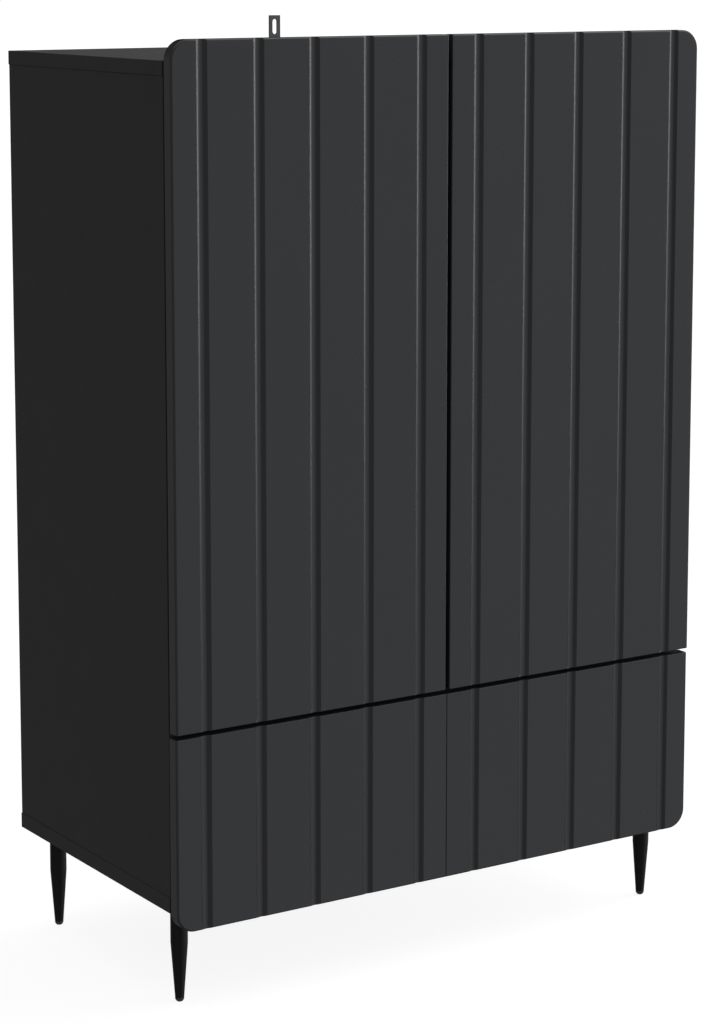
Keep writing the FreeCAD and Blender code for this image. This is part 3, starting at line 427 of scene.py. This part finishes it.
def turned(shape, axis, centre, start, way, face, body, spokes, sink=None):
    """Adds a turned solid to shape. Its front is at start, and way, 1 or -1, points to its back.

    face and body are its rings from front to back, (radius, depth) pairs. sink gives the extra
    depth of a point of the face's rings from its radius and angle, for a recess.
    """
    side = [i for i in range(3) if i != axis]

    def vertex(radius, depth, angle):
        point = centre.copy()
        point[side[0]] += radius * math.cos(angle)
        point[side[1]] += radius * math.sin(angle)
        point[axis] = start + way * depth
        return shape.verts.new(point)

    def ring(radius, depth, recess):
        angles = [math.tau * k / spokes for k in range(spokes)]
        return [vertex(radius, depth + (recess(radius, a) if recess else 0.0), a)
                for a in angles]

    front = vertex(0.0, face[0][1] + (sink(0.0, 0.0) if sink else 0.0), 0.0)
    loops = [ring(*pair, sink) for pair in face] + [ring(*pair, None) for pair in body]
    back = vertex(0.0, body[-1][1], 0.0)
    for k in range(spokes):
        n = (k + 1) % spokes
        shape.faces.new((front, loops[0][k], loops[0][n]))
        for inner, outer in zip(loops, loops[1:]):
            shape.faces.new((inner[k], outer[k], outer[n], inner[n]))
        shape.faces.new((back, loops[-1][n], loops[-1][k]))


# A screw head's face: its rings and its cross recess, as parts of the head's radius.
FACE_RINGS = (0.08, 0.16, 0.3, 0.45, 0.55, 0.57, 0.75)
DOME_RIM = 0.9
FLAT_RIM = 0.95
RECESS_REACH = 0.56
RECESS_HALF_WIDTH = 0.13
RECESS_DEPTH = 0.34
RECESS_RISE = 0.45
FLAT_HEAD_BELOW = 0.1 * MM
SCREW_SPOKES = 32


def cross_screws(node_name):
    """Screws with a domed or countersunk head and a cross recess, for the node's plain ones."""
    shape = bmesh.new()
    for points in islands(node_name):
        axis, centre, start, end, head, shank = along_axis(points)
        way = 1.0 if end > start else -1.0
        length = abs(end - start)
        side = [i for i in range(3) if i != axis]
        height = max(abs(p[axis] - start) for p in points
                     if math.dist([p[i] for i in side], [centre[i] for i in side]) > 0.9 * head)
        arm = RECESS_REACH * head
        half = RECESS_HALF_WIDTH * head
        depth = RECESS_DEPTH * head

        def recess(radius, angle, arm=arm, half=half, depth=depth):
            across = min(abs(radius * math.sin(angle)), abs(radius * math.cos(angle)))
            if radius < arm and across < half:
                return depth * (1 - RECESS_RISE * radius / arm)
            return 0.0

        if height > FLAT_HEAD_BELOW:
            face = [(head * t, 0.45 * height * t ** 2.4) for t in (*FACE_RINGS, DOME_RIM)]
            skirt = [(head * 0.98, 0.62 * height), (head, 0.8 * height),
                     (head, height), (shank, height)]
        else:
            face = [(head * t, 0.0) for t in (*FACE_RINGS, FLAT_RIM)]
            skirt = [(head, 0.1 * MM), (shank, 1.7 * MM)]
        tip = [(shank, length - 2 * MM), (shank * 0.25, length)]
        turned(shape, axis, centre, start, way, face, skirt + tip, SCREW_SPOKES, recess)
    bmesh.ops.recalc_face_normals(shape, faces=shape.faces)
    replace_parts(finish_piece(node_name + "_crosshead", shape, node_name), node_name)


def domed_bumpers(node_name):
    """Soft dots: a flat foot on the door, a rounded shoulder and a slightly domed face."""
    shape = bmesh.new()
    for points in islands(node_name):
        low_y = min(p.y for p in points)
        high_y = max(p.y for p in points)
        centre = Vector([(min(p[i] for p in points) + max(p[i] for p in points)) / 2
                         for i in range(3)])
        radius = max(p.x for p in points) - centre.x
        height = high_y - low_y
        shoulder = [math.radians(15 * k) for k in range(1, 7)]
        rings = [(radius * math.sin(t), height * 0.55 * (1 - math.cos(t))) for t in shoulder]
        turned(shape, 1, centre, high_y, -1.0, rings, [(radius, height)], 28)
    bmesh.ops.recalc_face_normals(shape, faces=shape.faces)
    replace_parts(finish_piece(node_name + "_domed", shape, node_name), node_name)


RAIL_SHEET = 1.2 * MM
BALLS_IN_ROW = 11
BALL_FILL = 0.86
CAGE_WIDTH = 2.3
CAGE_THICKNESS = 0.5


def ball_cages():
    """Rows of steel balls in thin cages between the runners' members.

    Above and below, one row runs between the outer and the middle member near the rear, and one
    between the middle and the inner member near the front. They travel with the middle member.
    """
    for side_name in ("left", "right"):
        outer_low, outer_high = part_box("runner_outer_" + side_name)
        middle_low, middle_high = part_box("runner_middle_" + side_name)
        inner_low, inner_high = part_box("runner_inner_" + side_name)
        level = (outer_low[2] + outer_high[2]) / 2
        lip = (outer_high[2] - outer_low[2]) / 2 - RAIL_SHEET
        mid = (middle_high[2] - middle_low[2]) / 2
        core = (inner_high[2] - inner_low[2]) / 2
        rear_x = (middle_low[0] + middle_high[0]) / 2
        front_x = (max(middle_low[0], inner_low[0]) + min(middle_high[0], inner_high[0])) / 2
        rows = []
        for up in (1.0, -1.0):
            rows.append((rear_x, middle_high[1] - 110 * MM, middle_high[1] - 40 * MM,
                         level + up * (lip + mid) / 2, (lip - mid) / 2))
            rows.append((front_x, middle_low[1] + 20 * MM, middle_low[1] + 90 * MM,
                         level + up * (mid - RAIL_SHEET + core) / 2, (mid - RAIL_SHEET - core) / 2))
        shape = bmesh.new()
        for x, y0, y1, z, room in rows:
            radius = room * BALL_FILL
            for k in range(BALLS_IN_ROW):
                where = Matrix.Translation((x, y0 + (y1 - y0) * k / (BALLS_IN_ROW - 1), z))
                bmesh.ops.create_icosphere(shape, subdivisions=2, radius=radius, matrix=where)
            cage = Matrix.Translation((x, (y0 + y1) / 2, z)) @ Matrix.Diagonal(
                (radius * CAGE_WIDTH, y1 - y0 + 5 * MM, radius * CAGE_THICKNESS, 1.0))
            bmesh.ops.create_cube(shape, size=1.0, matrix=cage)
        finish_piece("ball_cages_" + side_name, shape, "runner_middle_" + side_name)


BOARDS = ("top_panel", "bottom_panel", "side_panel_left", "side_panel_right", "fixed_shelf",
          "shelf_lower", "shelf_upper", "drawer_side_left", "drawer_side_right",
          "drawer_inner_front", "drawer_back", "drawer_batten")
for board in BOARDS:
    eased(board, width=0.45 * MM, shortest=50 * MM)
for steel in ("wall_bracket", "hinge_plates", "left_hinge_arms", "right_hinge_arms"):
    eased(steel, width=0.35 * MM, shortest=7 * MM)
for rail in ("runner_outer", "runner_middle", "runner_inner"):
    for side in ("_left", "_right"):
        eased(rail + side, width=0.5 * MM, shortest=100 * MM, segments=3)
for screws in ("hinge_screws", "left_cup_screws", "right_cup_screws", "drawer_front_screws",
               "drawer_box_screws", "runner_screws", "runner_inner_screws", "wall_bracket_screws"):
    cross_screws(screws)
for bumpers in ("left_door_bumpers", "right_door_bumpers"):
    domed_bumpers(bumpers)
ball_cages()


# ---- floor, light and camera ---------------------------------------------------------------

FLOOR_REACH = 60.0
FLOOR_TONE = 0.25
FLOOR_GLOW = 0.89


def floor():
    """Plain pale ground that casts no light, reflection or shadow on the cabinet."""
    mesh = bpy.data.meshes.new("floor")
    square = ((-1, -1), (1, -1), (1, 1), (-1, 1))
    corners = [(FLOOR_REACH * x, FLOOR_REACH * y, 0) for x, y in square]
    mesh.from_pydata(corners, [], [(0, 1, 2, 3)])
    ground = bpy.data.objects.new("floor", mesh)
    bpy.context.scene.collection.objects.link(ground)
    s = Surface("floor", Specular_IOR_Level=0.1, Emission_Color=(*WHITE, 1.0),
                Emission_Strength=FLOOR_GLOW)
    s.colour(s.mix(s.noise(1.5), scaled(WHITE, FLOOR_TONE), scaled(WHITE, FLOOR_TONE * 1.02)))
    s.roughness(s.spread(s.noise(30.0), 0.85, 0.95))
    mesh.materials.append(s.material)
    ground.visible_diffuse = False
    ground.visible_glossy = False
    ground.visible_shadow = False


AMBIENT = 0.115
COOL = (0.93, 0.98, 1.07)
# Patches of light on the dome, in degrees: azimuth (0 in front of the cabinet, 90 on its right),
# elevation, radius of full light and radius where it ends. Then strength and colour. A negative
# strength makes a dark flag.
PATCHES = (
    (85, 28, 25, 45, 1.8, WHITE),
    (85, 8, 10, 24, 3.4, WHITE),
    (40, -5, 22, 42, 0.465, COOL),
    (-55, -5, 30, 60, 0.16, WHITE),
    (0, 90, 20, 60, 0.6, WHITE),
    (155, 8, 25, 50, -0.10, WHITE),
    (-151, -10, 14, 26, 0.10, WHITE),
)


def direction(azimuth, elevation):
    """Unit vector from the cabinet towards a place on the dome, both angles in degrees."""
    a = math.radians(azimuth)
    e = math.radians(elevation)
    return Vector((math.sin(a) * math.cos(e), -math.cos(a) * math.cos(e), math.sin(e)))


def dome():
    """Studio surroundings: dim all round with soft patches of light, and a white backdrop."""
    world = bpy.data.worlds.new("studio")
    bpy.context.scene.world = world
    world.use_nodes = True
    tree = world.node_tree
    where = tree.nodes.new("ShaderNodeTexCoord").outputs["Generated"]
    total = None
    for azimuth, elevation, full, end, strength, colour in PATCHES:
        facing = tree.nodes.new("ShaderNodeVectorMath")
        facing.operation = "DOT_PRODUCT"
        facing.inputs[1].default_value = direction(azimuth, elevation)
        tree.links.new(where, facing.inputs[0])
        patch = tree.nodes.new("ShaderNodeMapRange")
        patch.interpolation_type = "SMOOTHSTEP"
        patch.inputs["From Min"].default_value = math.cos(math.radians(end))
        patch.inputs["From Max"].default_value = math.cos(math.radians(full))
        tree.links.new(facing.outputs["Value"], patch.inputs["Value"])
        layer = tree.nodes.new("ShaderNodeVectorMath")
        layer.operation = "MULTIPLY_ADD"
        layer.inputs[1].default_value = scaled(colour, strength)
        layer.inputs[2].default_value = scaled(WHITE, AMBIENT)
        tree.links.new(patch.outputs["Result"], layer.inputs[0])
        if total is not None:
            tree.links.new(total, layer.inputs[2])
        total = layer.outputs["Vector"]
    light = tree.nodes["Background"]
    tree.links.new(total, light.inputs["Color"])
    backdrop = tree.nodes.new("ShaderNodeBackground")
    backdrop.inputs["Color"].default_value = (*WHITE, 1.0)
    path = tree.nodes.new("ShaderNodeLightPath")
    choice = tree.nodes.new("ShaderNodeMixShader")
    tree.links.new(path.outputs["Is Camera Ray"], choice.inputs["Fac"])
    tree.links.new(light.outputs["Background"], choice.inputs[1])
    tree.links.new(backdrop.outputs["Background"], choice.inputs[2])
    tree.links.new(choice.outputs["Shader"], tree.nodes["World Output"].inputs["Surface"])


CAMERA_PLACE = (-1.9947, -3.0685, 1.2979)
CAMERA_DOWN = math.radians(8.073)
CAMERA_TO_RIGHT = math.radians(32.962)
LENS_MM = 97.435
SENSOR_MM = 36.0
LENS_SHIFT = -0.16


def camera():
    """From the front left, a little above the cabinet's top, looking slightly down."""
    lens = bpy.data.cameras.new("camera")
    lens.lens = LENS_MM
    lens.sensor_width = SENSOR_MM
    lens.shift_y = LENS_SHIFT
    eye = bpy.data.objects.new("camera", lens)
    eye.location = CAMERA_PLACE
    eye.rotation_euler = (math.radians(90) - CAMERA_DOWN, 0, -CAMERA_TO_RIGHT)
    bpy.context.scene.collection.objects.link(eye)
    bpy.context.scene.camera = eye


bpy.context.scene.view_settings.view_transform = "Standard"
floor()
dome()
camera()
